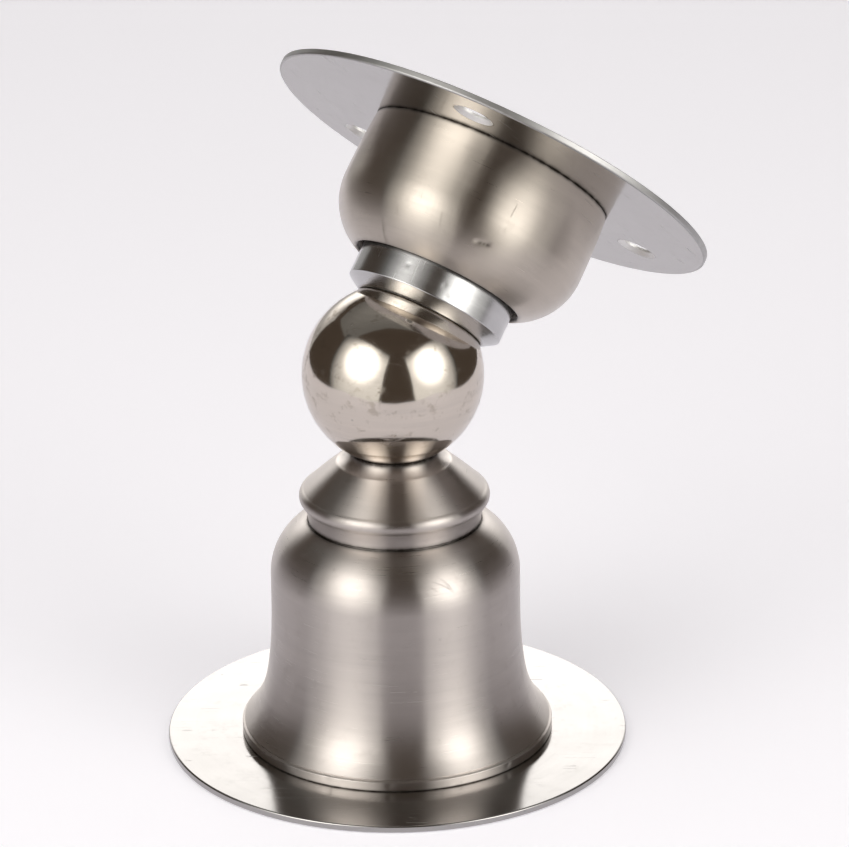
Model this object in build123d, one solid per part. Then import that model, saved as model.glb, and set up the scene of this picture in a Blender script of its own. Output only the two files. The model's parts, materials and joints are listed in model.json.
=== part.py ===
"""Magnetic floor door holder: a ball on a bell-shaped floor post, and a door unit whose sprung magnet grips it.

Millimetres, +Z up. The origin is the centre of the face that lies on the floor. The floor unit stands on
the Z axis. The door unit is drawn along its own axis, from the ball's centre outwards, and is then tilted
into place by catch_place. In those functions a height is a distance from the ball's centre.
"""
from build123d import *
import os

# Shared sizes
PLATE_R = 25.0            # both round mounting plates
PLATE_T = 0.7
STUD_R = 2.5              # M5 stud, and the tapping size of the M6 floor thread
STUD_HOLE_R = 2.6         # clearance hole for the stud
RUN_FIT = 0.05            # radial clearance where one piece turns or slides on another
EDGE_R = 0.2              # rounded edge of both plates
TIP_CHAMFER = 0.4         # stud and guide pin

# Floor unit
POST_R = 7.0
POST_FLANGE_R = 13.0
POST_FLANGE_T = 2.0
SPIGOT_R = 4.5            # swaged into the floor plate
FLOOR_THREAD_DEPTH = 12.0
STUD_BOTTOM_Z = 16.0
STUD_TOP_Z = 46.0
RIM_R = 16.9              # flared foot of the bell
RIM_TOP_Z = 1.9
RIM_WALL = 1.2
BELL_R = 13.45            # bell wall where its shoulder starts
SHOULDER_Z = 19.0
SHOULDER_ARC_R = 6.6
BELL_WALL = 0.8
CROWN_Z = 25.15           # flat top of the bell, under the collar
CROWN_T = 0.95

# Collar and the fasteners inside it
COLLAR_FOOT_R = 9.3
COLLAR_R = 10.25
COLLAR_WIDE_Z = 27.9
NECK_R = 4.75
NECK_Z = 32.5
COUNTERBORE_R = 5.4
COUNTERBORE_TOP_Z = 30.4
WASHER_R = 5.0
WASHER_T = 1.0
LOCK_WASHER_R = 4.6
LOCK_WASHER_T = 1.2
LOCK_WASHER_SPLIT = 0.7
NUT_T = 2.7
NUT_FLATS = 8.0

# Ball
BALL_R = 9.7
BALL_Z = 41.6
BALL_BORE_TOP_Z = 46.5

# Door unit: how it leans, and its heights from the ball's centre
CATCH_TILT = 39.5         # degrees from vertical
CATCH_AZIMUTH = 47.4      # degrees from +X towards +Y, the way it leans
DOOR_PLATE_H = 24.8       # plate face that the cup stands on
SCREW_PCD = 38.0
SCREW_HOLE_R = 1.75
SCREW_SINK_R = 2.2
SCREW_ANGLE = 88.5        # first screw hole, degrees about the door unit's axis
CUP_FOOT_R = 13.5
CUP_R = 13.8
CUP_ARC_R = 7.2
CUP_ARC_H = 17.5
CUP_MOUTH_R = 9.4
CUP_BORE_R = 12.7
RING_WALL = 1.1
RING_H = 4.0
RING_FLANGE_T = 1.0
RING_FLANGE_IN_R = 8.4
RIVET_COUNT = 3
RIVET_CIRCLE_R = 9.9
RIVET_R = 0.9
RIVET_HEAD_R = 1.6
RIVET_HEAD_T = 0.7
TUBE_R = 3.2
TUBE_FOOT_R = 4.2
TUBE_FOOT_T = 0.8
TUBE_SPIGOT_R = 2.8
TUBE_END_H = 19.3

# Sprung magnet head
POLE_R = 8.8
POLE_BACK_H = 15.4
POLE_CHAMFER_H = 7.85
SEAT_EDGE_R = 7.0
SEAT_EDGE_FLAT = 0.15
POCKET_R = 6.5
POCKET_FLOOR_H = 13.4
MAGNET_R = 5.3
MAGNET_FACE_H = 10.0
GROOVE_R = 8.2
GROOVE_H = 12.9
CIRCLIP_R = 10.2
CIRCLIP_T = 0.9
CIRCLIP_GAP = 3.2
PIN_R = 2.1
PIN_SPIGOT_R = 1.5
PIN_END_H = 21.5
BUMPER_R = 4.2
BUMPER_T = 0.8
SPRING_R = 5.4            # middle of the wire
SPRING_WIRE_R = 0.45
SPRING_TURNS = 5.5

SEAT_R = BALL_R + RUN_FIT


def arc_height(radius, offset):
    """Distance from a circle's centre line to the circle, at that offset along the line."""
    return (radius ** 2 - offset ** 2) ** 0.5


def turned(*edges):
    """Solid turned about Z from a closed outline of (radius, height) edges."""
    outline = make_face(Curve() + list(edges))
    return revolve(Plane.XZ * outline, Axis.Z)


def tube(outer_r, inner_r, low, high):
    """Straight tube about Z between two heights."""
    middle = Pos(0, 0, (low + high) / 2)
    return middle * Cylinder(outer_r, high - low) - middle * Cylinder(inner_r, high - low)


def rod(radius, low, high):
    """Solid cylinder about Z between two heights."""
    return Pos(0, 0, (low + high) / 2) * Cylinder(radius, high - low)


def on_circle(count, radius, first_angle=0.0):
    """Places evenly spaced on a circle about Z."""
    return [Rot(0, 0, first_angle + 360.0 * k / count) * Pos(radius, 0, 0) for k in range(count)]


# Floor unit -------------------------------------------------------------------------------------

def make_floor_plate():
    disc = rod(PLATE_R, 0, PLATE_T)
    disc = fillet(disc.edges().sort_by(Axis.Z)[-1], EDGE_R)
    return disc - rod(SPIGOT_R, 0, PLATE_T)


def make_core_post():
    """Turned steel post: spigot in the plate, flange on it, body up to the bell's crown, tapped both ends."""
    top = CROWN_Z - CROWN_T
    flange_top = PLATE_T + POST_FLANGE_T
    post = rod(SPIGOT_R, 0, PLATE_T) + rod(POST_FLANGE_R, PLATE_T, flange_top)
    post = post + rod(POST_R, flange_top, top)
    return post - rod(STUD_R, 0, FLOOR_THREAD_DEPTH) - rod(STUD_R, STUD_BOTTOM_Z, top)


def make_bell():
    """Drawn shell: vertical rim, flared foot, nearly straight wall, round shoulder, flat crown with a hole."""
    inner_r = BELL_R - BELL_WALL
    crown_in_z = CROWN_Z - CROWN_T
    arc_centre_r = BELL_R - SHOULDER_ARC_R
    inner_arc_r = SHOULDER_ARC_R - BELL_WALL
    flat_r = arc_centre_r + (inner_arc_r ** 2 - (crown_in_z - SHOULDER_Z) ** 2) ** 0.5
    outer_foot = Spline(
        (RIM_R, RIM_TOP_Z), (14.9, 4.6), (13.85, 8.8), (BELL_R + 0.05, 13.5), (BELL_R, SHOULDER_Z)
    )
    inner_foot = Spline(
        (RIM_R - RIM_WALL, PLATE_T), (14.1, 4.2), (13.05, 8.6), (inner_r + 0.05, 13.5), (inner_r, SHOULDER_Z)
    )
    shoulder = ThreePointArc((BELL_R, SHOULDER_Z), (12.25, 22.85), (COLLAR_FOOT_R, CROWN_Z))
    middle_r = arc_centre_r + inner_arc_r * 0.85
    middle_z = SHOULDER_Z + inner_arc_r * (1 - 0.85 ** 2) ** 0.5
    shoulder_in = ThreePointArc((inner_r, SHOULDER_Z), (middle_r, middle_z), (flat_r, crown_in_z))
    return turned(
        Line((RIM_R - RIM_WALL, PLATE_T), (RIM_R, PLATE_T)),
        Line((RIM_R, PLATE_T), (RIM_R, RIM_TOP_Z)),
        outer_foot,
        shoulder,
        Line((COLLAR_FOOT_R, CROWN_Z), (STUD_HOLE_R, CROWN_Z)),
        Line((STUD_HOLE_R, CROWN_Z), (STUD_HOLE_R, crown_in_z)),
        Line((STUD_HOLE_R, crown_in_z), (flat_r, crown_in_z)),
        shoulder_in,
        inner_foot,
    )


def make_ball_stud():
    stud = rod(STUD_R, STUD_BOTTOM_Z, STUD_TOP_Z)
    return chamfer(stud.edges().sort_by(Axis.Z)[-1], TIP_CHAMFER)


def make_plain_washer():
    return tube(WASHER_R, STUD_HOLE_R, CROWN_Z, CROWN_Z + WASHER_T)


def make_lock_washer():
    """Spring washer with its split."""
    low = CROWN_Z + WASHER_T
    high = low + LOCK_WASHER_T
    split = Pos(LOCK_WASHER_R, 0, (low + high) / 2) * Rot(25, 0, 0)
    cutter = split * Box(2 * (LOCK_WASHER_R - 1), LOCK_WASHER_SPLIT, 3 * LOCK_WASHER_T)
    return tube(LOCK_WASHER_R, STUD_HOLE_R, low, high) - cutter


def make_jam_nut():
    """Thin hexagon nut that clamps the bell's crown down on the post."""
    low = CROWN_Z + WASHER_T + LOCK_WASHER_T
    hexagon = RegularPolygon(NUT_FLATS / 2, 6, major_radius=False)
    nut = Pos(0, 0, low) * extrude(hexagon, NUT_T)
    return nut - rod(STUD_R, low, low + NUT_T)


def make_collar():
    """Lens-shaped collar over the nut, with a short neck that ends in a round seat under the ball."""
    seat_z = BALL_Z - arc_height(SEAT_R, NECK_R)
    bore_r = STUD_HOLE_R
    seat_mid_r = (NECK_R + bore_r) / 2
    seat_mid_z = BALL_Z - arc_height(SEAT_R, seat_mid_r)
    seat_low_z = BALL_Z - arc_height(SEAT_R, bore_r)
    return turned(
        Line((COUNTERBORE_R, CROWN_Z), (COLLAR_FOOT_R, CROWN_Z)),
        ThreePointArc((COLLAR_FOOT_R, CROWN_Z), (9.45, 26.2), (9.85, 27.15)),
        ThreePointArc((9.85, 27.15), (COLLAR_R, COLLAR_WIDE_Z), (9.75, 28.75)),
        ThreePointArc((9.75, 28.75), (8.05, 30.3), (6.2, 31.85)),
        ThreePointArc((6.2, 31.85), (5.2, 32.05), (NECK_R, NECK_Z)),
        Line((NECK_R, NECK_Z), (NECK_R, seat_z)),
        ThreePointArc((NECK_R, seat_z), (seat_mid_r, seat_mid_z), (bore_r, seat_low_z)),
        Line((bore_r, seat_low_z), (bore_r, COUNTERBORE_TOP_Z)),
        Line((bore_r, COUNTERBORE_TOP_Z), (COUNTERBORE_R, COUNTERBORE_TOP_Z)),
        Line((COUNTERBORE_R, COUNTERBORE_TOP_Z), (COUNTERBORE_R, CROWN_Z)),
    )


def make_ball():
    ball = Pos(0, 0, BALL_Z) * Sphere(BALL_R)
    return ball - rod(STUD_R + RUN_FIT, BALL_Z - BALL_R - 1, BALL_BORE_TOP_Z)


# Door unit --------------------------------------------------------------------------------------

def make_door_plate():
    """Round plate with three countersunk screw holes outside the cup, and its rivet and spigot holes."""
    top = DOOR_PLATE_H + PLATE_T
    disc = rod(PLATE_R, DOOR_PLATE_H, top)
    disc = fillet(disc.edges().sort_by(Axis.Z)[0], EDGE_R)
    disc = disc - rod(TUBE_SPIGOT_R, DOOR_PLATE_H, top)
    for place in on_circle(RIVET_COUNT, RIVET_CIRCLE_R, SCREW_ANGLE):
        disc = disc - place * rod(RIVET_R, DOOR_PLATE_H, top)
    sink_depth = SCREW_SINK_R - SCREW_HOLE_R
    sink = Pos(0, 0, DOOR_PLATE_H + sink_depth / 2) * Cone(SCREW_SINK_R, SCREW_HOLE_R, sink_depth)
    for place in on_circle(3, SCREW_PCD / 2, SCREW_ANGLE):
        disc = disc - place * sink - place * rod(SCREW_HOLE_R, DOOR_PLATE_H, top)
    return disc


def make_cup():
    """Turned cup: slightly bulged wall that curves in to a round mouth, threaded inside at the plate end."""
    arc_centre_r = CUP_R - CUP_ARC_R
    bore_arc_r = CUP_BORE_R - arc_centre_r
    mouth_h = CUP_ARC_H - arc_height(CUP_ARC_R, CUP_MOUTH_R - arc_centre_r)
    lip_h = CUP_ARC_H - arc_height(bore_arc_r, CUP_MOUTH_R - arc_centre_r)
    slant = 0.5 ** 0.5
    outer_mid = (arc_centre_r + CUP_ARC_R * slant, CUP_ARC_H - CUP_ARC_R * slant)
    inner_mid = (arc_centre_r + bore_arc_r * slant, CUP_ARC_H - bore_arc_r * slant)
    return turned(
        Line((CUP_BORE_R, DOOR_PLATE_H), (CUP_FOOT_R, DOOR_PLATE_H)),
        ThreePointArc((CUP_FOOT_R, DOOR_PLATE_H), (CUP_R - 0.07, 21.0), (CUP_R, CUP_ARC_H)),
        ThreePointArc((CUP_R, CUP_ARC_H), outer_mid, (CUP_MOUTH_R, mouth_h)),
        Line((CUP_MOUTH_R, mouth_h), (CUP_MOUTH_R, lip_h)),
        ThreePointArc((CUP_MOUTH_R, lip_h), inner_mid, (CUP_BORE_R, CUP_ARC_H)),
        Line((CUP_BORE_R, CUP_ARC_H), (CUP_BORE_R, DOOR_PLATE_H)),
    )


def make_cup_ring():
    """Flanged ring riveted to the plate; the cup screws over it."""
    inner_r = CUP_BORE_R - RING_WALL
    wall = tube(CUP_BORE_R, inner_r, DOOR_PLATE_H - RING_H, DOOR_PLATE_H)
    flange_low = DOOR_PLATE_H - RING_FLANGE_T
    flange = tube(inner_r, RING_FLANGE_IN_R, flange_low, DOOR_PLATE_H)
    for place in on_circle(RIVET_COUNT, RIVET_CIRCLE_R, SCREW_ANGLE):
        flange = flange - place * rod(RIVET_R, flange_low, DOOR_PLATE_H)
    return wall + flange


def make_ring_rivets():
    head_top = DOOR_PLATE_H - RING_FLANGE_T
    rivet = rod(RIVET_R, head_top, DOOR_PLATE_H + PLATE_T)
    rivet = rivet + rod(RIVET_HEAD_R, head_top - RIVET_HEAD_T, head_top)
    rivets = [place * rivet for place in on_circle(RIVET_COUNT, RIVET_CIRCLE_R, SCREW_ANGLE)]
    return Compound(children=rivets)


def make_guide_tube():
    """Tube swaged into the plate's centre, in which the magnet head's pin slides and turns."""
    top = DOOR_PLATE_H + PLATE_T
    outside = rod(TUBE_R, TUBE_END_H, DOOR_PLATE_H)
    outside = outside + rod(TUBE_FOOT_R, DOOR_PLATE_H - TUBE_FOOT_T, DOOR_PLATE_H)
    outside = outside + rod(TUBE_SPIGOT_R, DOOR_PLATE_H, top)
    return outside - rod(PIN_R + RUN_FIT, TUBE_END_H, top)


# Sprung magnet head -----------------------------------------------------------------------------

def make_pole_cup():
    """Steel pot that carries the magnet: round seat edge, chamfered nose, circlip groove, pin hole."""
    nose_h = arc_height(SEAT_R, SEAT_EDGE_R)
    pocket_h = arc_height(SEAT_R, POCKET_R)
    seat_mid_r = (SEAT_EDGE_R + POCKET_R) / 2
    seat_mid = (seat_mid_r, arc_height(SEAT_R, seat_mid_r))
    pot = turned(
        Line((POLE_R, POLE_BACK_H), (POLE_R, POLE_CHAMFER_H)),
        Line((POLE_R, POLE_CHAMFER_H), (SEAT_EDGE_R + SEAT_EDGE_FLAT, nose_h)),
        Line((SEAT_EDGE_R + SEAT_EDGE_FLAT, nose_h), (SEAT_EDGE_R, nose_h)),
        ThreePointArc((SEAT_EDGE_R, nose_h), seat_mid, (POCKET_R, pocket_h)),
        Line((POCKET_R, pocket_h), (POCKET_R, POCKET_FLOOR_H)),
        Line((POCKET_R, POCKET_FLOOR_H), (PIN_SPIGOT_R, POCKET_FLOOR_H)),
        Line((PIN_SPIGOT_R, POCKET_FLOOR_H), (PIN_SPIGOT_R, POLE_BACK_H)),
        Line((PIN_SPIGOT_R, POLE_BACK_H), (POLE_R, POLE_BACK_H)),
    )
    return pot - tube(POLE_R + 1, GROOVE_R, GROOVE_H, GROOVE_H + CIRCLIP_T)


def make_magnet():
    return rod(MAGNET_R, MAGNET_FACE_H, POCKET_FLOOR_H)


def make_spacer_ring():
    """Plastic ring that centres the magnet in the pot."""
    return tube(POCKET_R, MAGNET_R, MAGNET_FACE_H, POCKET_FLOOR_H)


def make_retaining_ring():
    """Open circlip that stops the magnet head at the cup's lip."""
    gap = Pos(CIRCLIP_R, 0, GROOVE_H + CIRCLIP_T / 2) * Box(POLE_R, CIRCLIP_GAP, 2 * CIRCLIP_T)
    return tube(CIRCLIP_R, GROOVE_R, GROOVE_H, GROOVE_H + CIRCLIP_T) - gap


def make_guide_pin():
    pin = rod(PIN_R, POLE_BACK_H, PIN_END_H) + rod(PIN_SPIGOT_R, POCKET_FLOOR_H, POLE_BACK_H)
    return chamfer(pin.edges().sort_by(Axis.Z)[-1], TIP_CHAMFER)


def make_bumper():
    """Rubber washer that the guide tube meets at full travel."""
    return tube(BUMPER_R, PIN_R, POLE_BACK_H, POLE_BACK_H + BUMPER_T)


def make_buffer_spring():
    """Round-wire compression spring between the pot's back and the door plate."""
    low = POLE_BACK_H + SPRING_WIRE_R
    height = DOOR_PLATE_H - SPRING_WIRE_R - low
    path = Pos(0, 0, low) * Helix(height / SPRING_TURNS, height, SPRING_R)
    wire = Plane(origin=path @ 0, z_dir=path % 0) * Circle(SPRING_WIRE_R)
    return sweep(wire, path=path, is_frenet=True)


FLOOR_NODES = {
    "floor_plate": make_floor_plate,
    "core_post": make_core_post,
    "bell": make_bell,
    "ball_stud": make_ball_stud,
    "plain_washer": make_plain_washer,
    "lock_washer": make_lock_washer,
    "jam_nut": make_jam_nut,
    "collar": make_collar,
    "ball": make_ball,
}

CATCH_NODES = {
    "door_plate": make_door_plate,
    "cup": make_cup,
    "cup_ring": make_cup_ring,
    "ring_rivets": make_ring_rivets,
    "guide_tube": make_guide_tube,
    "pole_cup": make_pole_cup,
    "magnet": make_magnet,
    "spacer_ring": make_spacer_ring,
    "retaining_ring": make_retaining_ring,
    "guide_pin": make_guide_pin,
    "bumper": make_bumper,
    "buffer_spring": make_buffer_spring,
}

catch_place = Pos(0, 0, BALL_Z) * Rot(0, 0, CATCH_AZIMUTH) * Rot(0, CATCH_TILT, 0)

os.makedirs("parts", exist_ok=True)
for name, make in FLOOR_NODES.items():
    export_step(make(), f"parts/{name}.step")
for name, make in CATCH_NODES.items():
    export_step(catch_place * make(), f"parts/{name}.step")
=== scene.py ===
"""Looks of the magnetic floor door holder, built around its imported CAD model.

The outlines below are in millimetres, as (radius, height) points. Floor pieces turn about the row's Z.
Door unit pieces turn about the catch axis, and their heights are distances from the ball's centre.
"""

import json
import math

import bpy
import numpy as np
from mathutils import Matrix, Vector


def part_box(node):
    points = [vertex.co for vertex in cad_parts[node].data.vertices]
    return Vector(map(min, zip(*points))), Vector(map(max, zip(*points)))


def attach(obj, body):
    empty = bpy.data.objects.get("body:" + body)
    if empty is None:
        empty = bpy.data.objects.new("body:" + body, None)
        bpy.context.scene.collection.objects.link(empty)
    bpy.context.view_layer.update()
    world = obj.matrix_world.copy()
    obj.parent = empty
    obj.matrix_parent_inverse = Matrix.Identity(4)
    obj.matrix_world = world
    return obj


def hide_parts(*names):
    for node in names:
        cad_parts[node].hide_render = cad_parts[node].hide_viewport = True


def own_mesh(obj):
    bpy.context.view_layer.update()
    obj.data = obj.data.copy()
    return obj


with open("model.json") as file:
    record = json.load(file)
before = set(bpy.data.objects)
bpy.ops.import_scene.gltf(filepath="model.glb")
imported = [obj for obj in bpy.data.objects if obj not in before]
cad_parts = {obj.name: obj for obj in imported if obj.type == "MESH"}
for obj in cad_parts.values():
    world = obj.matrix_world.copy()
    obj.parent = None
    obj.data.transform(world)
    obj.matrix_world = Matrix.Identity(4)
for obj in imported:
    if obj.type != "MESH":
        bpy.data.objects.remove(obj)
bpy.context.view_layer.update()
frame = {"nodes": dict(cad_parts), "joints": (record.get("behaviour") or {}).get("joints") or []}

MM = 0.001
SEGMENTS = 288
rng = np.random.default_rng(7)
scene = bpy.context.scene


# Places from the frame ----------------------------------------------------------------------------

joints = {j["name"]: j for j in frame["joints"]}
ball_centre = Vector(joints["catch_tilt"]["pos_m"])
catch_axis = Vector(joints["catch_spin"]["axis"]).normalized()
tilt_axis = Vector(joints["catch_tilt"]["axis"]).normalized()
BALL_Z = ball_centre.z / MM

PLATE_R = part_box("floor_plate")[1].x / MM
PLATE_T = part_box("floor_plate")[1].z / MM
RIM_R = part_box("bell")[1].x / MM
CROWN_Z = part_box("bell")[1].z / MM
COLLAR_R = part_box("collar")[1].x / MM
BALL_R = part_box("ball")[1].x / MM

# Sizes that several pieces share, in millimetres, and the angles of the door plate's holes in degrees.
SEAT_GAP = 0.05
BORE_R, BORE_TOP = 2.55, 46.5
POT_R, POT_TOP = 8.8, 15.4
CUP_TOP = 24.8
SCREW_CIRCLE_R, RIVET_CIRCLE_R = 19.0, 9.9
HOLE_ANGLES = (88.5, 208.5, 328.5)


def upright():
    """The floor pieces' own frame, in metres."""
    return Matrix.Identity(4)


def leaning():
    """The door unit's own frame: origin at the ball's centre, Z along the catch axis."""
    across = tilt_axis.cross(catch_axis)
    turn = Matrix((across, tilt_axis, catch_axis)).transposed().to_4x4()
    return Matrix.Translation(ball_centre) @ turn


# Outlines -----------------------------------------------------------------------------------------

def line(a, b, count=2):
    """Points from a to b."""
    t = np.linspace(0, 1, count)[:, None]
    return np.array(a) * (1 - t) + np.array(b) * t


def arc(centre, radius, start, end, count=24):
    """Points on an arc, angles in degrees from the radius axis towards the height axis."""
    angles = np.radians(np.linspace(start, end, count))
    return np.array(centre) + radius * np.stack([np.cos(angles), np.sin(angles)], 1)


def arc_through(a, b, c, count=24):
    """Points on the arc from a through b to c."""
    (ax, ay), (bx, by), (cx, cy) = a, b, c
    d = 2 * (ax * (by - cy) + bx * (cy - ay) + cx * (ay - by))
    sa, sb, sc = ax ** 2 + ay ** 2, bx ** 2 + by ** 2, cx ** 2 + cy ** 2
    centre = ((sa * (by - cy) + sb * (cy - ay) + sc * (ay - by)) / d,
              (sa * (cx - bx) + sb * (ax - cx) + sc * (bx - ax)) / d)
    angles = [math.degrees(math.atan2(p[1] - centre[1], p[0] - centre[0])) for p in (a, b, c)]
    for k in (1, 2):
        while angles[k] - angles[k - 1] > 180:
            angles[k] -= 360
        while angles[k] - angles[k - 1] < -180:
            angles[k] += 360
    return arc(centre, math.dist(a, centre), angles[0], angles[2], count)


def spline(points, start_way, end_way, count=60):
    """Smooth cubic curve through the points, with its directions at both ends."""
    p = np.array(points, float)
    steps = np.linalg.norm(np.diff(p, axis=0), axis=1)
    n = len(p)
    rows = np.zeros((n, n))
    right = np.zeros((n, 2))
    rows[0, 0] = rows[-1, -1] = 1
    right[0] = np.array(start_way) / np.linalg.norm(start_way)
    right[-1] = np.array(end_way) / np.linalg.norm(end_way)
    for k in range(1, n - 1):
        before, after = steps[k - 1], steps[k]
        rows[k, k - 1:k + 2] = after, 2 * (before + after), before
        right[k] = 3 * (after * (p[k] - p[k - 1]) / before + before * (p[k + 1] - p[k]) / after)
    ways = np.linalg.solve(rows, right)
    curve = []
    for k in range(n - 1):
        share = max(3, round(count * steps[k] / steps.sum()))
        t = np.linspace(0, 1, share, endpoint=k == n - 2)[:, None]
        h = steps[k]
        curve.append(
            (2 * t ** 3 - 3 * t ** 2 + 1) * p[k] + (t ** 3 - 2 * t ** 2 + t) * h * ways[k]
            + (3 * t ** 2 - 2 * t ** 3) * p[k + 1] + (t ** 3 - t ** 2) * h * ways[k + 1]
        )
    return np.concatenate(curve)


def cut_back(run, distance):
    """The run without its last stretch of that length."""
    run = run.copy()
    while len(run) > 2 and np.linalg.norm(run[-1] - run[-2]) <= distance:
        distance -= np.linalg.norm(run[-1] - run[-2])
        run = run[:-1]
    way = run[-2] - run[-1]
    run[-1] = run[-1] + way / np.linalg.norm(way) * distance
    return run


def rounded(before, after, radius, count=7):
    """Both runs cut back where they meet, with a guard point at each side, and the arc that joins them."""
    a = before[-1] - before[-2]
    b = after[1] - after[0]
    a, b = a / np.linalg.norm(a), b / np.linalg.norm(b)
    turn = math.atan2(a[0] * b[1] - a[1] * b[0], float(a @ b))
    back = radius * math.tan(abs(turn) / 2)
    before = cut_back(before, back)
    after = cut_back(after[::-1], back)[::-1]
    side = math.copysign(1, turn)
    centre = before[-1] + radius * side * np.array([-a[1], a[0]])
    spoke = before[-1] - centre
    bend = []
    for share in np.linspace(0, 1, count)[1:-1]:
        c, s = math.cos(turn * share), math.sin(turn * share)
        bend.append(centre + np.array([c * spoke[0] - s * spoke[1], s * spoke[0] + c * spoke[1]]))
    guard = 0.2 * radius
    return (np.concatenate([cut_back(before, guard), before[-1:]]), np.array(bend),
            np.concatenate([after[:1], cut_back(after[::-1], guard)[::-1]]))


def outline(runs, radii, closed=True):
    """One list of points from runs that meet end to end. radii rounds the corner after each run."""
    runs = [np.array(r, float) for r in runs]
    pieces = []
    last = len(runs) if closed else len(runs) - 1
    bends = {}
    for k in range(last):
        following = (k + 1) % len(runs)
        if radii[k]:
            runs[k], bends[k], runs[following] = rounded(runs[k], runs[following], radii[k])
    for k, run in enumerate(runs):
        pieces.append(run if k in bends or (k == last and not closed) else run[:-1])
        if k in bends:
            pieces.append(bends[k])
    return np.concatenate(pieces)


# Meshes -------------------------------------------------------------------------------------------

def make_object(name, vertices, faces, place, uv=None, brush=None, seam_shade_and_dirt=None):
    """A smooth-shaded mesh object in the row frame. Its own-frame millimetres stay as an attribute."""
    mesh = bpy.data.meshes.new(name)
    mesh.from_pydata([tuple(v) for v in vertices], [], faces)
    for key, values in (("own_mm", vertices), ("brush", brush)):
        if values is not None:
            attribute = mesh.attributes.new(key, "FLOAT_VECTOR", "POINT")
            attribute.data.foreach_set("vector", np.asarray(values, np.float32).ravel())
    if seam_shade_and_dirt is not None:
        attribute = mesh.attributes.new("seam_shade_and_dirt", "FLOAT", "POINT")
        attribute.data.foreach_set("value", np.asarray(seam_shade_and_dirt, np.float32))
    if uv is not None:
        layer = mesh.uv_layers.new(name="turned")
        layer.data.foreach_set("uv", np.asarray(uv, np.float32).ravel())
    mesh.transform(place @ Matrix.Diagonal((MM, MM, MM, 1)))
    mesh.shade_smooth()
    mesh.update()
    piece = bpy.data.objects.new(name, mesh)
    scene.collection.objects.link(piece)
    return piece


def painted_seam_shade_and_dirt(vertices, shaded_seams, stains):
    """Painted shade in the seams and dirt in the stains, from 0 to 1 at each vertex, as lathe says."""
    radii = np.hypot(vertices[:, 0], vertices[:, 1])
    darkening = np.zeros(len(vertices))
    for r, h, width in shaded_seams:
        apart = (radii - r) ** 2 + (vertices[:, 2] - h) ** 2
        darkening = np.maximum(darkening, np.exp(-apart / width ** 2))
    for x, y, z, width in stains:
        away = np.linalg.norm(vertices - (x, y, z), axis=1)
        darkening = np.maximum(darkening, 0.8 * np.exp(-(away / width) ** 2))
    return darkening


def lathe(name, points, place, closed=True, dent=None, segments=SEGMENTS, shaded_seams=(), stains=()):
    """Mesh turned about the place's Z. An open outline starts and ends on the axis.

    Painted shade darkens the seams where the piece meets or goes under another, which are (radius, height,
    width) rings, and dirt gathers in stains (x, y, z, width).
    """
    points = np.asarray(points, float)
    following = np.roll(points, -1, 0)
    if np.sum(points[:, 0] * following[:, 1] - following[:, 0] * points[:, 1]) < 0:
        points = points[::-1]
    steps = np.linalg.norm(np.diff(points, axis=0, append=points[:1]), axis=1)
    travel = np.concatenate([[0], np.cumsum(steps)])
    angles = np.arange(segments) * 2 * math.pi / segments
    ring = np.stack([np.cos(angles), np.sin(angles)], 1)
    vertices, brush, start = [], [], []
    for (r, h), s in zip(points, travel):
        start.append(len(vertices))
        spokes = ring if r > 1e-6 else ring[:1]
        vertices += [(r * c, r * d, h) for c, d in spokes]
        brush += [(c, d, s) for c, d in spokes]
    vertices = np.array(vertices)
    # Painted shade: the seams between parts are darkened as if in shadow; only the stains are dirt.
    seam_shade_and_dirt = painted_seam_shade_and_dirt(vertices, shaded_seams, stains)
    if dent is not None:
        vertices = dent(vertices)
    faces, uv = [], []
    count = len(points)
    for k in range(count if closed else count - 1):
        n = (k + 1) % count
        v0, v1 = travel[k] * 0.01, travel[k + 1] * 0.01
        if points[k, 0] < 1e-6 and points[n, 0] < 1e-6:
            continue
        for j in range(segments):
            i = (j + 1) % segments
            u0, u1 = j / segments, (j + 1) / segments
            if points[k, 0] < 1e-6:
                faces.append((start[k], start[n] + i, start[n] + j))
                uv += [(u0, v0), (u1, v1), (u0, v1)]
            elif points[n, 0] < 1e-6:
                faces.append((start[k] + j, start[k] + i, start[n]))
                uv += [(u0, v0), (u1, v0), (u0, v1)]
            else:
                faces.append((start[k] + j, start[k] + i, start[n] + i, start[n] + j))
                uv += [(u0, v0), (u1, v0), (u1, v1), (u0, v1)]
    return make_object(name, vertices, faces, place, uv, brush, seam_shade_and_dirt)


# Small marks of use, pressed into the meshes ------------------------------------------------------

def bumps(marks):
    """Function that presses round marks (x, y, z, radius, depth) into vertices, towards the axis.

    A negative depth raises the surface.
    """
    def press(vertices):
        vertices = vertices.copy()
        for x, y, z, radius, depth in marks:
            away = np.linalg.norm(vertices - (x, y, z), axis=1)
            near = away < 2.5 * radius
            fall = np.exp(-(away[near] / radius) ** 2) * depth
            out = vertices[near, :2]
            out = out / np.maximum(np.linalg.norm(out, axis=1), 1e-9)[:, None]
            vertices[near, :2] -= out * fall[:, None]
        return vertices
    return press


def around(count, radius, low, high, size, depth):
    """Random marks on a drum about Z between two heights."""
    marks = []
    for _ in range(count):
        angle = rng.uniform(0, 2 * math.pi)
        marks.append((radius * math.cos(angle), radius * math.sin(angle), rng.uniform(low, high),
                      size * rng.uniform(0.6, 1.4), depth * rng.uniform(-0.5, 1.0)))
    return marks


# Floor unit ---------------------------------------------------------------------------------------

def make_floor_plate():
    points = outline([
        line((4.5, 0), (PLATE_R, 0), 40),
        line((PLATE_R, 0), (PLATE_R, PLATE_T), 4),
        line((PLATE_R, PLATE_T), (4.5, PLATE_T), 60),
        line((4.5, PLATE_T), (4.5, 0), 4),
    ], [0.08, 0.18, 0, 0])
    return lathe("floor_plate_turned", points, upright(), segments=2 * SEGMENTS)


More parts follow.
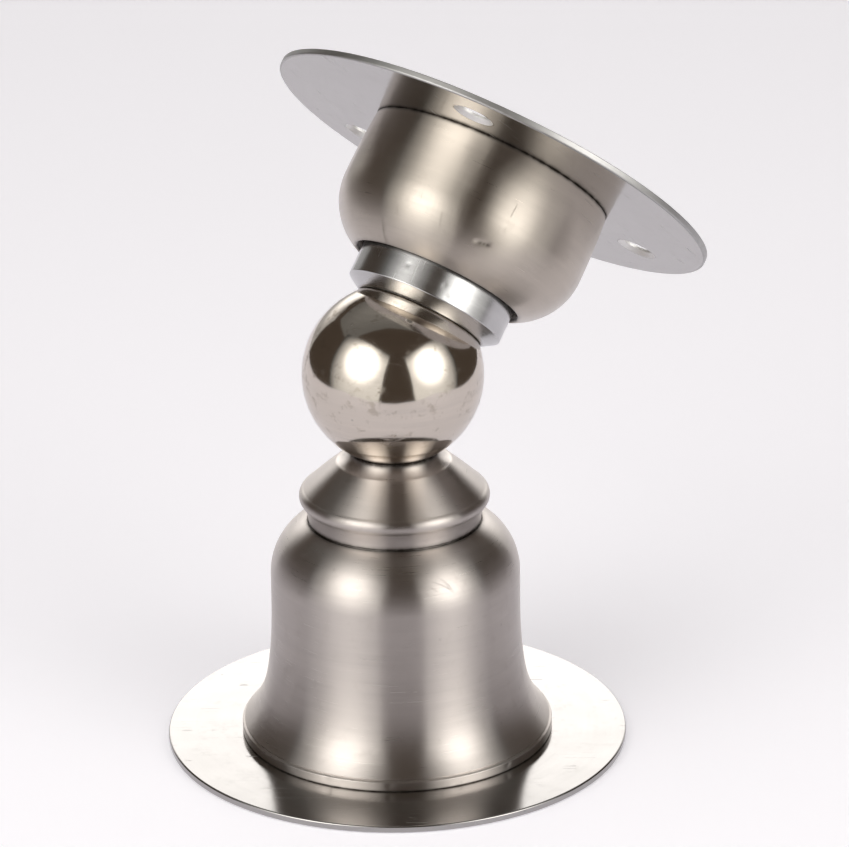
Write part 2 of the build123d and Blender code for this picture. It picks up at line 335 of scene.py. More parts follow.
def make_bell():
    wall_r = 13.45
    arc_mid = (12.25, 22.85)
    foot = spline([(RIM_R - 0.26, 2.02), (14.9, 4.6), (13.85, 8.8), (13.5, 13.5), (wall_r, 19)],
                  (14.9 - RIM_R, 2.3), (-0.05, 5.5), 90)
    inside = spline([(12.65, 19), (12.7, 13.5), (13.05, 8.6), (14.1, 4.2), (RIM_R - 1.2, PLATE_T)],
                    (0.05, -5.5), (1.6, -3.5), 40)
    points = outline([
        line((RIM_R - 1.2, PLATE_T), (RIM_R, PLATE_T), 3),
        line((RIM_R, PLATE_T), (RIM_R, 1.72), 8),
        line((RIM_R, 1.72), (RIM_R - 0.30, 1.86), 4),
        line((RIM_R - 0.30, 1.86), (RIM_R - 0.26, 2.02), 3),
        np.concatenate([foot[:-1], arc_through((wall_r, 19), arc_mid, (9.3, CROWN_Z), 48)[:-1]]),
        line((9.42, 25.09), (9.24, 24.85), 3),
        line((9.24, 24.85), (8.98, CROWN_Z), 3),
        line((8.98, CROWN_Z), (2.6, CROWN_Z), 8),
        line((2.6, CROWN_Z), (2.6, 24.2), 3),
        line((2.6, 24.2), (9.45, 24.2), 6),
        np.concatenate([arc_through((9.45, 24.2), (11.78, 22.06), (12.65, 19), 16)[:-1], inside]),
    ], [0.16, 0.12, 0.03, 0.05, 0, 0, 0, 0, 0, 0, 0])
    marks = around(40, RIM_R, 1.0, 1.75, 0.26, 0.05) + around(12, 13.7, 6, 18, 0.5, 0.006)
    # The seams are painted shade, under the collar's foot and where the rim meets the floor plate.
    return lathe("bell_turned", points, upright(), dent=bumps(marks), segments=5 * SEGMENTS // 4,
                 shaded_seams=((9.25, 24.95, 0.28), (RIM_R, PLATE_T, 0.14)))


def seat_rise(r):
    """How far a seat that clears the ball stands from the level of the ball's centre, at radius r."""
    return math.sqrt((BALL_R + SEAT_GAP) ** 2 - r ** 2)


def make_collar():
    seat_z = BALL_Z - seat_rise(4.75)
    low_z = BALL_Z - seat_rise(2.6)
    mid_z = BALL_Z - seat_rise(3.7)
    points = outline([
        line((5.4, CROWN_Z), (9.3, CROWN_Z), 6),
        np.concatenate([
            arc_through((9.3, CROWN_Z), (9.45, 26.2), (9.85, 27.15), 12)[:-1],
            arc_through((9.85, 27.15), (COLLAR_R, 27.9), (9.75, 28.75), 22)[:-1],
            arc_through((9.75, 28.75), (8.05, 30.3), (6.2, 31.85), 40)[:-1],
            arc_through((6.2, 31.85), (5.35, 32.22), (4.80, 32.80), 12),
        ]),
        line((4.80, 32.80), (4.75, seat_z), 3),
        arc_through((4.75, seat_z), (3.7, mid_z), (2.6, low_z), 8),
        line((2.6, low_z), (2.6, 30.4), 3),
        line((2.6, 30.4), (5.4, 30.4), 3),
        line((5.4, 30.4), (5.4, CROWN_Z), 3),
    ], [0.26, 0, 0.06, 0, 0, 0, 0])
    marks = around(10, 10.1, 27.2, 28.6, 0.35, 0.012)
    # The seams are painted shade, where the collar stands on the bell and where the ball sits in it.
    return lathe("collar_turned", points, upright(), dent=bumps(marks),
                 shaded_seams=((9.2, CROWN_Z, 0.30), (4.75, 33.05, 0.35)))


def make_ball():
    low = BALL_Z - math.sqrt(BALL_R ** 2 - BORE_R ** 2)
    start = -math.degrees(math.acos(BORE_R / BALL_R))
    points = outline([
        arc((0, BALL_Z), BALL_R, start, 90, 150),
        line((0, BALL_Z + BALL_R), (0, BORE_TOP), 2),
        line((0, BORE_TOP), (BORE_R, BORE_TOP), 3),
        line((BORE_R, BORE_TOP), (BORE_R, low), 12),
    ], [0, 0, 0, 0.15])
    off_axis = points[:, 0] > 1e-6
    at_ends = (points[:, 1] > BALL_Z + BALL_R - 0.01) | (np.abs(points[:, 1] - BORE_TOP) < 1e-6)
    # The seam is painted shade, where the ball meets the collar's seat.
    return lathe("ball_turned", points[off_axis | at_ends], upright(), shaded_seams=((4.75, 33.14, 0.16),))


# Door unit ----------------------------------------------------------------------------------------

def make_pole_cup():
    points = outline([
        line((POT_R, 12.9), (POT_R, 7.85), 24),
        line((POT_R, 7.85), (7.15, seat_rise(7.0)), 8),
        line((7.15, seat_rise(7.0)), (7.0, seat_rise(7.0)), 2),
        arc_through((7.0, seat_rise(7.0)), (6.75, seat_rise(6.75)), (6.5, seat_rise(6.5)), 4),
        line((6.5, seat_rise(6.5)), (6.5, 13.4), 8),
        line((6.5, 13.4), (1.5, 13.4), 4),
        line((1.5, 13.4), (1.5, POT_TOP), 3),
        line((1.5, POT_TOP), (POT_R, POT_TOP), 5),
        line((POT_R, POT_TOP), (POT_R, 13.8), 3),
        line((POT_R, 13.8), (8.2, 13.8), 2),
        line((8.2, 13.8), (8.2, 12.9), 2),
        line((8.2, 12.9), (POT_R, 12.9), 2),
    ], [0.12, 0, 0, 0.05, 0, 0, 0, 0.2, 0.05, 0, 0, 0.05])
    marks = around(34, POT_R, 7.9, 10.6, 0.22, 0.03)
    # The seams are painted shade, at the ball's seat and on the wall where it goes into the cup.
    return lathe("pole_cup_turned", points, leaning(), dent=bumps(marks),
                 shaded_seams=((7.0, 6.75, 0.14), (POT_R, 11.2, 0.25), (POT_R, 12.9, 1.2)))


def make_cup():
    mouth = 17.5 - math.sqrt(7.2 ** 2 - 2.8 ** 2)
    lip = 17.5 - math.sqrt(6.1 ** 2 - 2.8 ** 2)
    wall = arc_through((13.5, CUP_TOP), (13.73, 21.0), (13.8, 17.5), 40)
    curve = arc((6.6, 17.5), 7.2, 0, -math.degrees(math.acos(2.8 / 7.2)), 70)
    inner = arc((6.6, 17.5), 6.1, -math.degrees(math.acos(2.8 / 6.1)), 0, 24)
    points = outline([
        line((12.7, CUP_TOP), (13.5, CUP_TOP), 3),
        np.concatenate([wall[:-1], curve]),
        line((9.4, mouth), (9.4, lip), 6),
        inner,
        line((12.7, 17.5), (12.7, CUP_TOP), 8),
    ], [0.16, 0.22, 0.1, 0, 0])
    marks = around(14, 13.75, 13, 24, 0.5, 0.008)
    nick = []
    for share in (0.0, 0.33, 0.67, 1.0):
        angle = math.radians(229 + 5 * share)
        nick.append((13.05 * math.cos(angle), 13.05 * math.sin(angle), 14.15 + 0.3 * share))
    marks += [(*place, 0.26, 0.07) for place in nick]
    stains = [(*place, 0.20) for place in nick[1:]]
    # The seams are painted shade, where the cup meets the door plate and at its lip round the pole cup; the
    # stains are dirt in the nick.
    return lathe("cup_turned", points, leaning(), dent=bumps(marks), segments=3 * SEGMENTS // 2,
                 shaded_seams=((13.45, CUP_TOP, 0.22), (9.4, 11.2, 0.3)), stains=stains)


def hole_cutters(low, high, full_size):
    """Bodies that cut the three countersunk screw holes and the three rivet holes, in millimetres."""
    sink = outline([
        line((0, low - 0.6), (2.8, low - 0.6), 3),
        line((2.8, low - 0.6), (2.2, low), 4),
        line((2.2, low), (1.75, low + 0.45), 4),
        line((1.75, low + 0.45), (1.75, high + 0.3), 3),
        line((1.75, high + 0.3), (0, high + 0.3), 2),
    ], [0, 0.12, 0.05, 0], closed=False)
    drill = [(0, low - 0.5), (0.92, low - 0.5), (0.92, high + 0.5), (0, high + 0.5)]
    cutters = []
    for angle in HOLE_ANGLES:
        turn = Matrix.Rotation(math.radians(angle), 4, "Z")
        for radius, shape in ((SCREW_CIRCLE_R, sink), (RIVET_CIRCLE_R, drill)):
            place = turn @ Matrix.Translation((radius, 0, 0)) @ full_size
            cutters.append(lathe("cutter", shape, place, closed=False, segments=64))
    return cutters


def make_door_plate():
    """Turned disc with its screw and rivet holes cut. It is cut at its size in millimetres, then placed."""
    full_size = Matrix.Diagonal((1 / MM, 1 / MM, 1 / MM, 1))
    low, high = CUP_TOP, CUP_TOP + PLATE_T
    points = outline([
        line((2.8, low), (PLATE_R, low), 60),
        line((PLATE_R, low), (PLATE_R, high), 4),
        line((PLATE_R, high), (2.8, high), 60),
        line((2.8, high), (2.8, low), 4),
    ], [0.18, 0.08, 0, 0])
    plate = lathe("door_plate_turned", points, full_size, segments=2 * SEGMENTS)
    cutters = hole_cutters(low, high, full_size)
    for cutter in cutters:
        cut = plate.modifiers.new("cut", "BOOLEAN")
        cut.operation = "DIFFERENCE"
        cut.solver = "EXACT"
        cut.object = cutter
    bpy.context.view_layer.update()
    graph = bpy.context.evaluated_depsgraph_get()
    mesh = bpy.data.meshes.new_from_object(plate.evaluated_get(graph))
    plate.modifiers.clear()
    plate.data = mesh
    mesh.set_sharp_from_angle(angle=math.radians(24))
    mesh.transform(leaning() @ Matrix.Diagonal((MM, MM, MM, 1)))
    for cutter in cutters:
        bpy.data.objects.remove(cutter)
    return plate


def mark_cut_faces(piece):
    """Gives the plate's sheared edge its second finish, and the walls of its screw holes their third, a
    near-white tone that paints light into them.
    """
    inverse = leaning().inverted()
    for face in piece.data.polygons:
        x, y, _ = inverse @ face.center / MM
        lean = abs(face.normal @ catch_axis)
        if math.hypot(x, y) > PLATE_R - 0.2:
            face.material_index = 1
        for angle in HOLE_ANGLES:
            a = math.radians(angle)
            centre = (SCREW_CIRCLE_R * math.cos(a), SCREW_CIRCLE_R * math.sin(a))
            if math.dist((x, y), centre) < 2.25 and lean < 0.95:
                face.material_index = 2


def make_buffer_spring():
    """Round-wire spring with closed, ground ends, drawn as a tube along its helix."""
    low, high, radius, wire, turns = POT_TOP, CUP_TOP, 5.4, 0.45, 6.5
    count, sides = 520, 16
    t = np.linspace(0, 1, count)
    rate = 0.62 + np.clip(np.minimum(t, 1 - t) * turns - 0.7, 0, 0.5) * 4
    rise = np.concatenate([[0], np.cumsum((rate[1:] + rate[:-1]) / 2)])
    height = low + wire * 0.8 + (high - low - wire * 1.6) * rise / rise[-1]
    angle = t * turns * 2 * math.pi
    path = np.stack([radius * np.cos(angle), radius * np.sin(angle), height], 1)
    way = np.gradient(path, axis=0)
    way /= np.linalg.norm(way, axis=1)[:, None]
    side = np.stack([np.cos(angle), np.sin(angle), 0 * angle], 1)
    up = np.cross(way, side)
    vertices, brush = [], []
    for k in range(count):
        for j in range(sides):
            a = 2 * math.pi * j / sides
            vertices.append(path[k] + wire * (math.cos(a) * side[k] + math.sin(a) * up[k]))
            brush.append((math.cos(a), math.sin(a), angle[k] * radius))
    vertices = np.array(vertices)
    vertices[:, 2] = np.clip(vertices[:, 2], low, high)
    faces = [tuple(range(sides))[::-1], tuple(range((count - 1) * sides, count * sides))]
    uv = [(0, 0)] * (2 * sides)
    for k in range(count - 1):
        for j in range(sides):
            i = (j + 1) % sides
            faces.append((k * sides + j, k * sides + i, (k + 1) * sides + i, (k + 1) * sides + j))
            uv += [(j / sides, k * 0.01), ((j + 1) / sides, k * 0.01),
                   ((j + 1) / sides, k * 0.01 + 0.01), (j / sides, k * 0.01 + 0.01)]
    return make_object("buffer_spring_wound", vertices, faces, leaning(), uv, brush)


# Materials ----------------------------------------------------------------------------------------

class Nodes:
    """Short way to wire a material's nodes."""

    def __init__(self, name):
        self.material = bpy.data.materials.new(name)
        self.material.use_nodes = True
        self.tree = self.material.node_tree
        self.shader = self.tree.nodes["Principled BSDF"]

    def put(self, socket, value):
        if isinstance(value, bpy.types.NodeSocket):
            self.tree.links.new(value, socket)
        else:
            socket.default_value = value

    def add(self, kind, inputs=(), out=0, **settings):
        node = self.tree.nodes.new(kind)
        for key, value in settings.items():
            setattr(node, key, value)
        for key, value in dict(inputs).items():
            self.put(node.inputs[key], value)
        return node.outputs[out]

    def attribute(self, name):
        return self.add("ShaderNodeAttribute", out="Vector", attribute_name=name)

    def object_mm(self):
        where = self.add("ShaderNodeTexCoord", out="Object")
        return self.add("ShaderNodeMapping", {"Vector": where, "Scale": (1000, 1000, 1000)})

    def mapped(self, vector, scale, turn=(0, 0, 0), move=(0, 0, 0)):
        return self.add("ShaderNodeMapping",
                        {"Vector": vector, "Scale": scale, "Rotation": turn, "Location": move})

    def noise(self, vector, scale=1.0, detail=2.0, rough=0.5):
        return self.add("ShaderNodeTexNoise",
                        {"Vector": vector, "Scale": scale, "Detail": detail, "Roughness": rough}, out=0)

    def math(self, operation, a, b=0.0, clamp=False):
        return self.add("ShaderNodeMath", {0: a, 1: b}, operation=operation, use_clamp=clamp)

    def range(self, value, low, high, to_low=0.0, to_high=1.0):
        return self.add("ShaderNodeMapRange", {
            "Value": value, "From Min": low, "From Max": high, "To Min": to_low, "To Max": to_high,
        })

    def mix(self, share, a, b):
        return self.add("ShaderNodeMix", {0: share, 6: a, 7: b}, out=2, data_type="RGBA")

    def bump(self, height, distance, normal=None):
        inputs = {"Height": height, "Distance": distance, "Strength": 1.0}
        if normal is not None:
            inputs["Normal"] = normal
        return self.add("ShaderNodeBump", inputs)


def hairlines(n, where, turn, move, width=0.014, share=0.57):
    """Sparse thin scratches, as 0 to 1: contour lines of a long stretched noise, seen only in patches."""
    long = n.noise(n.mapped(where, (0.03, 1.3, 0.03), turn, move), 1.0, 0.0)
    line_ = n.range(n.math("ABSOLUTE", n.math("SUBTRACT", long, 0.5)), 0.0, width, 1.0, 0.0)
    patch = n.range(n.noise(n.mapped(where, (1, 1, 1), move=move), 0.34, 1.0), share, share + 0.06)
    return n.math("MULTIPLY", line_, patch)


def specks(n, where, density, radius, chance):
    """Small round marks, as 0 to 1, in some of the cells."""
    cells = n.tree.nodes.new("ShaderNodeTexVoronoi")
    n.put(cells.inputs["Vector"], where)
    n.put(cells.inputs["Scale"], density)
    dot = n.range(cells.outputs["Distance"], radius * 0.5, radius, 1.0, 0.0)
    pick = n.add("ShaderNodeSeparateColor", {"Color": cells.outputs["Color"]})
    return n.math("MULTIPLY", dot, n.math("LESS_THAN", pick, chance))


def with_seam_shade_and_dirt(n, where, tone, r):
    """Tone and roughness with the mesh's painted seam shade, and the dirt of its stains, laid over them,
    uneven along a seam.
    """
    seam = n.add("ShaderNodeAttribute", out="Fac", attribute_name="seam_shade_and_dirt")
    uneven = n.range(n.noise(where, 1.1, 3.0), 0.25, 0.6, 0.55, 1.0)
    seam = n.math("MULTIPLY", seam, uneven, clamp=True)
    # Painted shade: near-black brown laid into the seams where parts meet, standing in for the shadow in
    # the gaps; in stains it is dirt.
    tone = n.mix(seam, tone, (0.045, 0.035, 0.026, 1))
    r = n.math("ADD", r, n.math("MULTIPLY", seam, 0.3), clamp=True)
    return tone, r


def metal(name, base, rough, lines=0.03, line_bump=1.5e-6, aniso=0.0, scratch=0.1, pits=0.1, turned=True,
          ripple=0.0, ripple_scale=0.16, stain=0.06, cloud=0.04, line_scale=(2.2, 2.2, 7.0),
          speck_size=0.10, tone_span=0.10):
    """Worn metal. lines is the roughness that turning marks add, along the surface's brush direction."""
    n = Nodes(name)
    where = n.attribute("own_mm") if turned else n.object_mm()
    grain = n.attribute("brush") if turned else where
    fine = n.noise(n.mapped(grain, line_scale), 1.0, 5.0, 0.65)
    broad = n.noise(n.mapped(grain, (0.8, 0.8, line_scale[2] * 0.16)), 1.0, 3.0, 0.6)
    clouds = n.noise(where, 0.22, 3.0, 0.55)
    marks = n.math("MAXIMUM", hairlines(n, where, (0.3, 0.9, 0.5), (3, 1, 7)),
                   hairlines(n, where, (1.2, -0.5, 2.0), (9, 4, 2)))
    dots = specks(n, where, 0.45, speck_size, 0.16)
    r = n.math("ADD", rough, n.math("MULTIPLY", n.math("SUBTRACT", fine, 0.5), lines * 2))
    r = n.math("ADD", r, n.math("MULTIPLY", n.math("SUBTRACT", clouds, 0.5), cloud))
    r = n.math("ADD", r, n.math("MULTIPLY", marks, scratch))
    r = n.math("ADD", r, n.math("MULTIPLY", dots, pits), clamp=True)
    dim = tuple(c * (1 - tone_span) for c in base)
    lift = tuple(min(1.0, c * (1 + tone_span / 2)) for c in base)
    tone = n.mix(n.range(broad, 0.3, 0.7), (*dim, 1), (*lift, 1))
    tone = n.mix(n.range(clouds, 0.35, 0.7), tone, (*base, 1))
    tone = n.mix(n.math("MULTIPLY", marks, min(1.0, scratch * 3)), tone, (*lift, 1))
    tone = n.mix(n.math("MULTIPLY", dots, min(1.0, pits * 3)), tone, (*(c * 0.45 for c in base), 1))
    patches = n.range(n.noise(n.mapped(where, (1, 1, 1), move=(5, 8, 2)), 0.55, 5.0, 0.7), 0.56, 0.66)
    r = n.math("ADD", r, n.math("MULTIPLY", patches, stain * 0.3), clamp=True)
    brown = tuple(c * s for c, s in zip(base, (0.5, 0.45, 0.38)))
    tone = n.mix(n.math("MULTIPLY", patches, stain), tone, (*brown, 1))
    if turned:
        tone, r = with_seam_shade_and_dirt(n, where, tone, r)
    height = n.math("ADD", fine, n.math("MULTIPLY", marks, -1.2 * min(1.0, scratch * 4)))
    height = n.math("ADD", height, n.math("MULTIPLY", dots, -2.0 * min(1.0, pits * 4)))
    normal = n.bump(height, line_bump)
    if ripple:
        normal = n.bump(n.noise(where, ripple_scale, 1.0, 0.5), ripple, normal)
    shader = n.shader
    n.put(shader.inputs["Base Color"], tone)
    n.put(shader.inputs["Metallic"], 1.0)
    n.put(shader.inputs["Roughness"], r)
    n.put(shader.inputs["Normal"], normal)
    if aniso and turned:
        shader.inputs["Anisotropic"].default_value = aniso
        shader.inputs["Anisotropic Rotation"].default_value = 0.25
        n.put(shader.inputs["Tangent"],
              n.add("ShaderNodeTangent", direction_type="UV_MAP", uv_map="turned"))
    return n.material


def plain(name, light, dark, rough, grain_scale, depth, sheen=0.0):
    """Rubber or plastic with a fine moulded grain and a little dust."""
    n = Nodes(name)
    where = n.object_mm()
    grain = n.noise(where, grain_scale, 4.0, 0.6)
    dust = n.range(n.noise(where, 0.7, 3.0, 0.6), 0.55, 0.75)
    tone = n.mix(n.range(grain, 0.3, 0.7), (*dark, 1), (*light, 1))
    tone = n.mix(n.math("MULTIPLY", dust, 0.25), tone, (*(min(1, c * 1.6 + 0.03) for c in light), 1))
    n.put(n.shader.inputs["Base Color"], tone)
    n.put(n.shader.inputs["Roughness"], n.range(grain, 0.2, 0.8, rough - 0.08, rough + 0.08))
    n.put(n.shader.inputs["Normal"], n.bump(grain, depth))
    n.shader.inputs["Sheen Weight"].default_value = sheen
    return n.material


satin = metal("satin_steel", (0.57, 0.525, 0.49), 0.30, lines=0.08, aniso=1.0, scratch=0.10, pits=0.05,
              line_bump=2.0e-6, tone_span=0.08)
cup_satin = metal("cup_steel", (0.575, 0.52, 0.455), 0.30, lines=0.07, aniso=1.0, scratch=0.16, pits=0.05,
                  line_bump=1.8e-6, tone_span=0.08)
plate = metal("plate_steel", (0.47, 0.455, 0.44), 0.15, lines=0.04, aniso=0.2, scratch=0.20, pits=0.12,
              line_bump=5e-7, ripple=3e-5, line_scale=(5.0, 5.0, 3.0), tone_span=0.05)
edge = metal("sheared_steel", (0.48, 0.475, 0.465), 0.40, lines=0.08, turned=False, line_scale=(3, 3, 3),
             scratch=0.02, pits=0.05)
# Painted light: the screw holes' walls get a near-white tone, far above the plate's steel, so that they
# read as lit.
hole_painted_light = metal("hole_steel_painted_light", (0.88, 0.87, 0.85), 0.55, lines=0.08, turned=False, line_scale=(3, 3, 3),
             scratch=0.02, pits=0.05)
nickel = metal("ball_nickel", (0.70, 0.635, 0.56), 0.105, lines=0.012, line_bump=1.5e-7, scratch=0.12,
               pits=0.12, cloud=0.05, speck_size=0.08, ripple=9e-6, ripple_scale=0.6, stain=0.40)
pole = metal("pole_steel", (0.58, 0.575, 0.57), 0.22, lines=0.06, aniso=0.4, scratch=0.16, pits=0.05,
             ripple=1.2e-5)
spring = metal("spring_steel", (0.56, 0.56, 0.57), 0.24, lines=0.05, scratch=0.05, pits=0.05,
               line_scale=(3, 3, 0.6))
circlip = metal("circlip_steel", (0.30, 0.29, 0.29), 0.33, lines=0.05, turned=False,
                line_scale=(3, 3, 3))
zinc = metal("zinc_steel", (0.66, 0.68, 0.70), 0.30, lines=0.08, turned=False, line_scale=(1.2, 1.2, 5))
magnet = metal("magnet_nickel", (0.62, 0.62, 0.61), 0.16, lines=0.04, turned=False,
               line_scale=(2, 2, 2), line_bump=6e-7)
plastic = plain("spacer_plastic", (0.055, 0.055, 0.058), (0.03, 0.03, 0.032), 0.45, 3.0, 8e-6)
rubber = plain("bumper_rubber", (0.035, 0.035, 0.036), (0.018, 0.018, 0.019), 0.75, 4.5, 1.4e-5, 0.2)


# Pieces -------------------------------------------------------------------------------------------

def finish_piece(piece, body, material, slot, *nodes):
    """Gives a made piece its finish and body, in place of CAD nodes."""
    piece.data.materials.clear()
    piece.data.materials.append(material)
    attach(piece, body)
    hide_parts(*nodes)


finish_piece(make_floor_plate(), "floor_unit", plate, "plate_steel", "floor_plate")
finish_piece(make_bell(), "floor_unit", satin, "satin_steel", "bell")
finish_piece(make_collar(), "floor_unit", satin, "satin_steel", "collar")
finish_piece(make_ball(), "ball", nickel, "ball_steel", "ball")
finish_piece(make_pole_cup(), "magnet_head", pole, "pole_steel", "pole_cup")
finish_piece(make_cup(), "door_unit", cup_satin, "satin_steel", "cup")
door_plate = make_door_plate()
finish_piece(door_plate, "door_unit", plate, "plate_steel", "door_plate")
door_plate.data.materials.append(edge)
door_plate.data.materials.append(hole_painted_light)
mark_cut_faces(door_plate)
coil = make_buffer_spring()
finish_piece(coil, "spring", spring, "spring_steel", "buffer_spring")
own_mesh(coil)

PLAIN_NODES = {
    "core_post": (zinc, "zinc_steel"),
    "ball_stud": (zinc, "zinc_steel"),
    "plain_washer": (zinc, "zinc_steel"),
    "lock_washer": (zinc, "zinc_steel"),
    "jam_nut": (zinc, "zinc_steel"),
    "cup_ring": (zinc, "zinc_steel"),
    "ring_rivets": (zinc, "zinc_steel"),
    "guide_tube": (zinc, "zinc_steel"),
    "guide_pin": (zinc, "zinc_steel"),
    "retaining_ring": (circlip, "spring_steel"),
    "magnet": (magnet, "magnet_nickel"),
    "spacer_ring": (plastic, "spacer_plastic"),
    "bumper": (rubber, "bumper_rubber"),
}
for node, (material, slot) in PLAIN_NODES.items():
    frame["nodes"][node].data.materials.clear()
    frame["nodes"][node].data.materials.append(material)


# Stage --------------------------------------------------------------------------------------------

def see_only(piece, camera=False, diffuse=False, glossy=False, shadow=False):
    """Which rays meet a stage object."""
    piece.visible_camera = camera
    piece.visible_diffuse = diffuse
    piece.visible_glossy = glossy
    piece.visible_transmission = camera
    piece.visible_shadow = shadow


def sheet_object(name, width, depth, place):
    """Flat stage rectangle facing its own +Z."""
    mesh = bpy.data.meshes.new(name)
    w, d = width / 2, depth / 2
    mesh.from_pydata([(-w, -d, 0), (w, -d, 0), (w, d, 0), (-w, d, 0)], [], [(0, 1, 2, 3)])
    uv = mesh.uv_layers.new(name="uv")
    uv.data.foreach_set("uv", [0, 0, 1, 0, 1, 1, 0, 1])
    piece = bpy.data.objects.new(name, mesh)
    piece.matrix_world = place
    scene.collection.objects.link(piece)
    return piece


def softbox_glow(name, colour, across, upward, hot_at, hot_size, hot_strength):
    """Emission by two curves of (share of the sheet, strength), with a hot spot where the lamp stands."""
    n = Nodes(name)
    n.tree.nodes.remove(n.shader)
    uv = n.add("ShaderNodeTexCoord", out="UV")
    parts = n.tree.nodes.new("ShaderNodeSeparateXYZ")
    n.put(parts.inputs[0], uv)
    strength = 1.0
    for axis, curve in (("X", across), ("Y", upward)):
        ramp = n.tree.nodes.new("ShaderNodeValToRGB")
        ramp.color_ramp.interpolation = "B_SPLINE"
        while len(ramp.color_ramp.elements) < len(curve):
            ramp.color_ramp.elements.new(0.5)
        for stop, (share, value) in zip(ramp.color_ramp.elements, curve):
            stop.position = share
            stop.color = (value, value, value, 1)
        n.put(ramp.inputs[0], parts.outputs[axis])
        strength = n.math("MULTIPLY", ramp.outputs[0], strength)
    shift = n.mapped(uv, (1 / hot_size, 1 / hot_size, 1),
                     move=(-hot_at[0] / hot_size, -hot_at[1] / hot_size, 0))
    away = n.add("ShaderNodeVectorMath", {0: shift}, out="Value", operation="LENGTH")
    hot = n.add("ShaderNodeMapRange", {
        "Value": away, "From Min": 0.0, "From Max": 1.0, "To Min": hot_strength, "To Max": 0.0,
    }, interpolation_type="SMOOTHERSTEP")
    light = n.add("ShaderNodeEmission", {"Color": (*colour, 1), "Strength": n.math("ADD", strength, hot)})
    n.put(n.tree.nodes["Material Output"].inputs["Surface"], light)
    return n.material


def glow(name, colour, middle, edge, hot=(0.0, 0.0)):
    """Emission that falls from the middle of a stage sheet to its edges."""
    n = Nodes(name)
    n.tree.nodes.remove(n.shader)
    uv = n.add("ShaderNodeTexCoord", out="UV")
    centred = n.mapped(uv, (2, 2, 1), move=(-1 - hot[0], -1 - hot[1], 0))
    away = n.add("ShaderNodeVectorMath", {0: centred}, out="Value", operation="LENGTH")
    fall = n.add("ShaderNodeMapRange", {
        "Value": away, "From Min": 0.0, "From Max": 1.0, "To Min": middle, "To Max": edge,
    }, interpolation_type="SMOOTHSTEP")
    light = n.add("ShaderNodeEmission", {"Color": (*colour, 1), "Strength": fall})
    n.put(n.tree.nodes["Material Output"].inputs["Surface"], light)
    return n.material


def facing(position, target):
    """Place at position whose +Z looks at target, with its Y as near upright as it can be."""
    look = (Vector(target) - Vector(position)).normalized()
    right = Vector((0, 0, 1) if abs(look.z) < 0.99 else (0, 1, 0)).cross(look).normalized()
    up = look.cross(right)
    return Matrix.Translation(position) @ Matrix((right, up, look)).transposed().to_4x4()


def bearing(azimuth, elevation, distance, height=0.04):
    """Point seen from the object at degrees to the right of the front, and degrees up."""
    a, e = math.radians(azimuth), math.radians(elevation)
    return Vector((math.sin(a) * math.cos(e), -math.cos(a) * math.cos(e), math.sin(e))) * distance \
        + Vector((0, 0, height))


# The camera and the light see a wide pale floor. Reflections see a table top of the same paper, which
# ends a little way off, so that the metal mirrors the darker room beyond it.
n = Nodes("floor_paper")
where = n.add("ShaderNodeTexCoord", out="Object")
mottle = n.noise(where, 6.0, 3.0)
n.put(n.shader.inputs["Base Color"], n.mix(mottle, (0.80, 0.79, 0.82, 1), (0.83, 0.82, 0.85, 1)))
n.put(n.shader.inputs["Roughness"], 0.6)
n.shader.inputs["Specular IOR Level"].default_value = 0.2
n.put(n.shader.inputs["Emission Color"], (0.97, 0.95, 1.0, 1))
n.shader.inputs["Emission Strength"].default_value = 0.325
floor = sheet_object("floor", 8, 8, Matrix.Translation((0, 0, -0.0001)))
floor.data.materials.append(n.material)
see_only(floor, camera=True, diffuse=True)
table_top = sheet_object("table_top", 0.455, 0.60, Matrix.Translation((-0.0325, 0.15, -0.0003)))
table_top.data.materials.append(n.material)
see_only(table_top, glossy=True, shadow=True)

target = (0, 0, 0.04)
# Their Y is up and their +X is to the left as the object sees them: the curves run from right to left.
upward = ((0.0, 0.9), (0.40, 1.0), (0.70, 1.15), (0.84, 1.0), (0.95, 0.45), (1.0, 0.15))
softboxes = (
    ("softbox_left", bearing(-50, 17, 0.60), 0.90, 0.86, (0.44, 0.67), 0.45, 3.1,
     ((0.0, 1.0), (0.15, 1.0), (0.60, 1.0), (0.85, 0.60), (0.97, 0.10), (1.0, 0.02))),
    ("softbox_right", bearing(57, 14, 0.60), 0.76, 0.76, (0.56, 0.64), 0.47, 3.0,
     ((0.0, 0.02), (0.03, 0.10), (0.15, 0.60), (0.40, 1.0), (0.85, 1.0), (1.0, 1.0))),
)
for name, position, width, height, hot_at, hot_size, hot_strength, across in softboxes:
    box_ = sheet_object(name, width, height, facing(position, target))
    box_.data.materials.append(
        softbox_glow(name, (1.0, 0.985, 0.955), across, upward, hot_at, hot_size, hot_strength))
    see_only(box_, diffuse=True, glossy=True)

backdrop = sheet_object("backdrop_card", 1.6, 0.62, facing(bearing(180, 12, 0.9), target))
backdrop.data.materials.append(glow("backdrop_card", (1.0, 0.98, 0.96), 2.7, 0.45, (0, 0.30)))
see_only(backdrop, glossy=True)

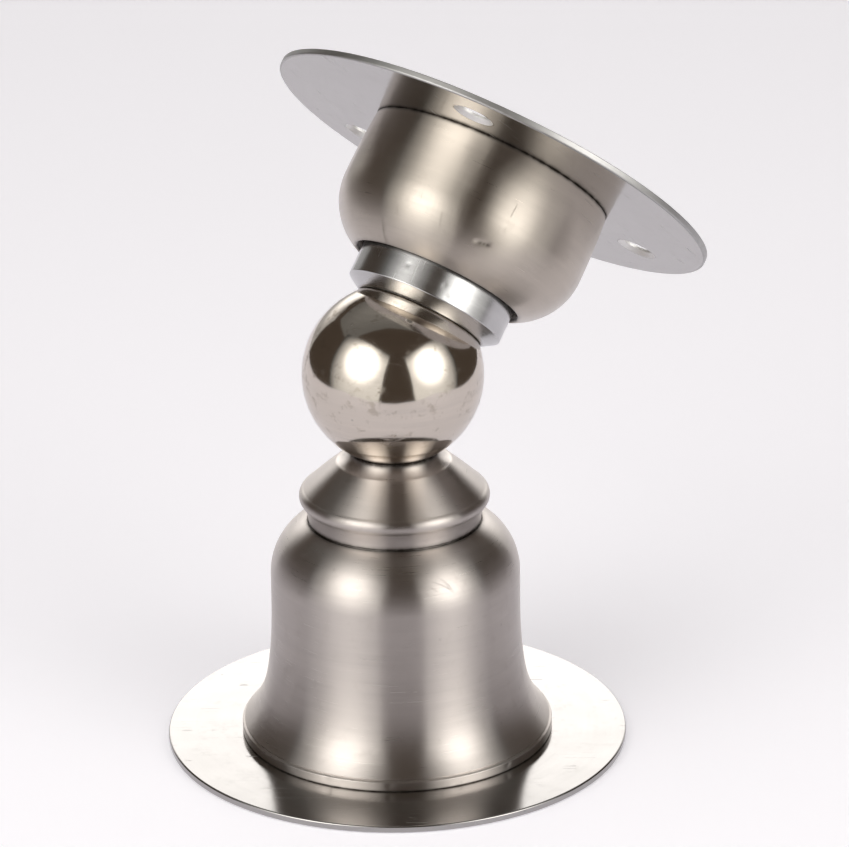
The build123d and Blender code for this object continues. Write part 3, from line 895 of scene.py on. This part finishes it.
ceiling = sheet_object("ceiling_card", 2.4, 1.2, facing((0, 0.42, 1.0), (0, 0.42, 0)))
ceiling.data.materials.append(glow("ceiling_card", (1.0, 0.98, 0.94), 0.26, 0.16))
see_only(ceiling, glossy=True)


def surround(name, radius, height, colour):
    """Pale wall all round, which only the camera sees."""
    sides = 96
    vertices, faces = [], []
    for k in range(sides):
        a = 2 * math.pi * k / sides
        for z in (-0.0001, height):
            vertices.append((radius * math.cos(a), radius * math.sin(a), z))
        i = (k + 1) % sides
        faces.append((2 * k, 2 * k + 1, 2 * i + 1, 2 * i))
    mesh = bpy.data.meshes.new(name)
    mesh.from_pydata(vertices, [], faces)
    mesh.materials.append(glow(name, colour, 1.0, 1.0))
    wall = bpy.data.objects.new(name, mesh)
    scene.collection.objects.link(wall)
    see_only(wall, camera=True)


surround("surround", 3.6, 6.0, (0.84, 0.83, 0.87))

fill = bpy.data.lights.new("fill", "AREA")
fill.energy = 12
fill.size = 2.2
fill_light = bpy.data.objects.new("fill", fill)
fill_light.location = (0, 0, 1.6)
fill_light.visible_glossy = False
fill_light.visible_camera = False
scene.collection.objects.link(fill_light)

world = bpy.data.worlds.new("room")
world.use_nodes = True
world.node_tree.nodes["Background"].inputs["Color"].default_value = (0.070, 0.054, 0.042, 1)
world.node_tree.nodes["Background"].inputs["Strength"].default_value = 1.0
scene.world = world


# Camera -------------------------------------------------------------------------------------------

ELEVATION, ROLL, DISTANCE = math.radians(21.45), math.radians(-0.58), 0.45
back = Vector((0, -math.cos(ELEVATION), math.sin(ELEVATION)))
right = Vector((1, 0, 0))
up = back.cross(right)
right, up = (math.cos(ROLL) * right + math.sin(ROLL) * up, -math.sin(ROLL) * right + math.cos(ROLL) * up)
aim = Vector((0, 0, 0.045)) + 0.00338 * right - 0.00842 * up
camera_data = bpy.data.cameras.new("camera")
camera_data.sensor_width = 36
camera_data.lens = 180.55
camera_data.clip_start = 0.01
camera_data.clip_end = 50
camera = bpy.data.objects.new("camera", camera_data)
turn = Matrix((right, up, back)).transposed().to_4x4()
camera.matrix_world = Matrix.Translation(aim + back * DISTANCE) @ turn
scene.collection.objects.link(camera)
scene.camera = camera
scene.view_settings.view_transform = "Standard"
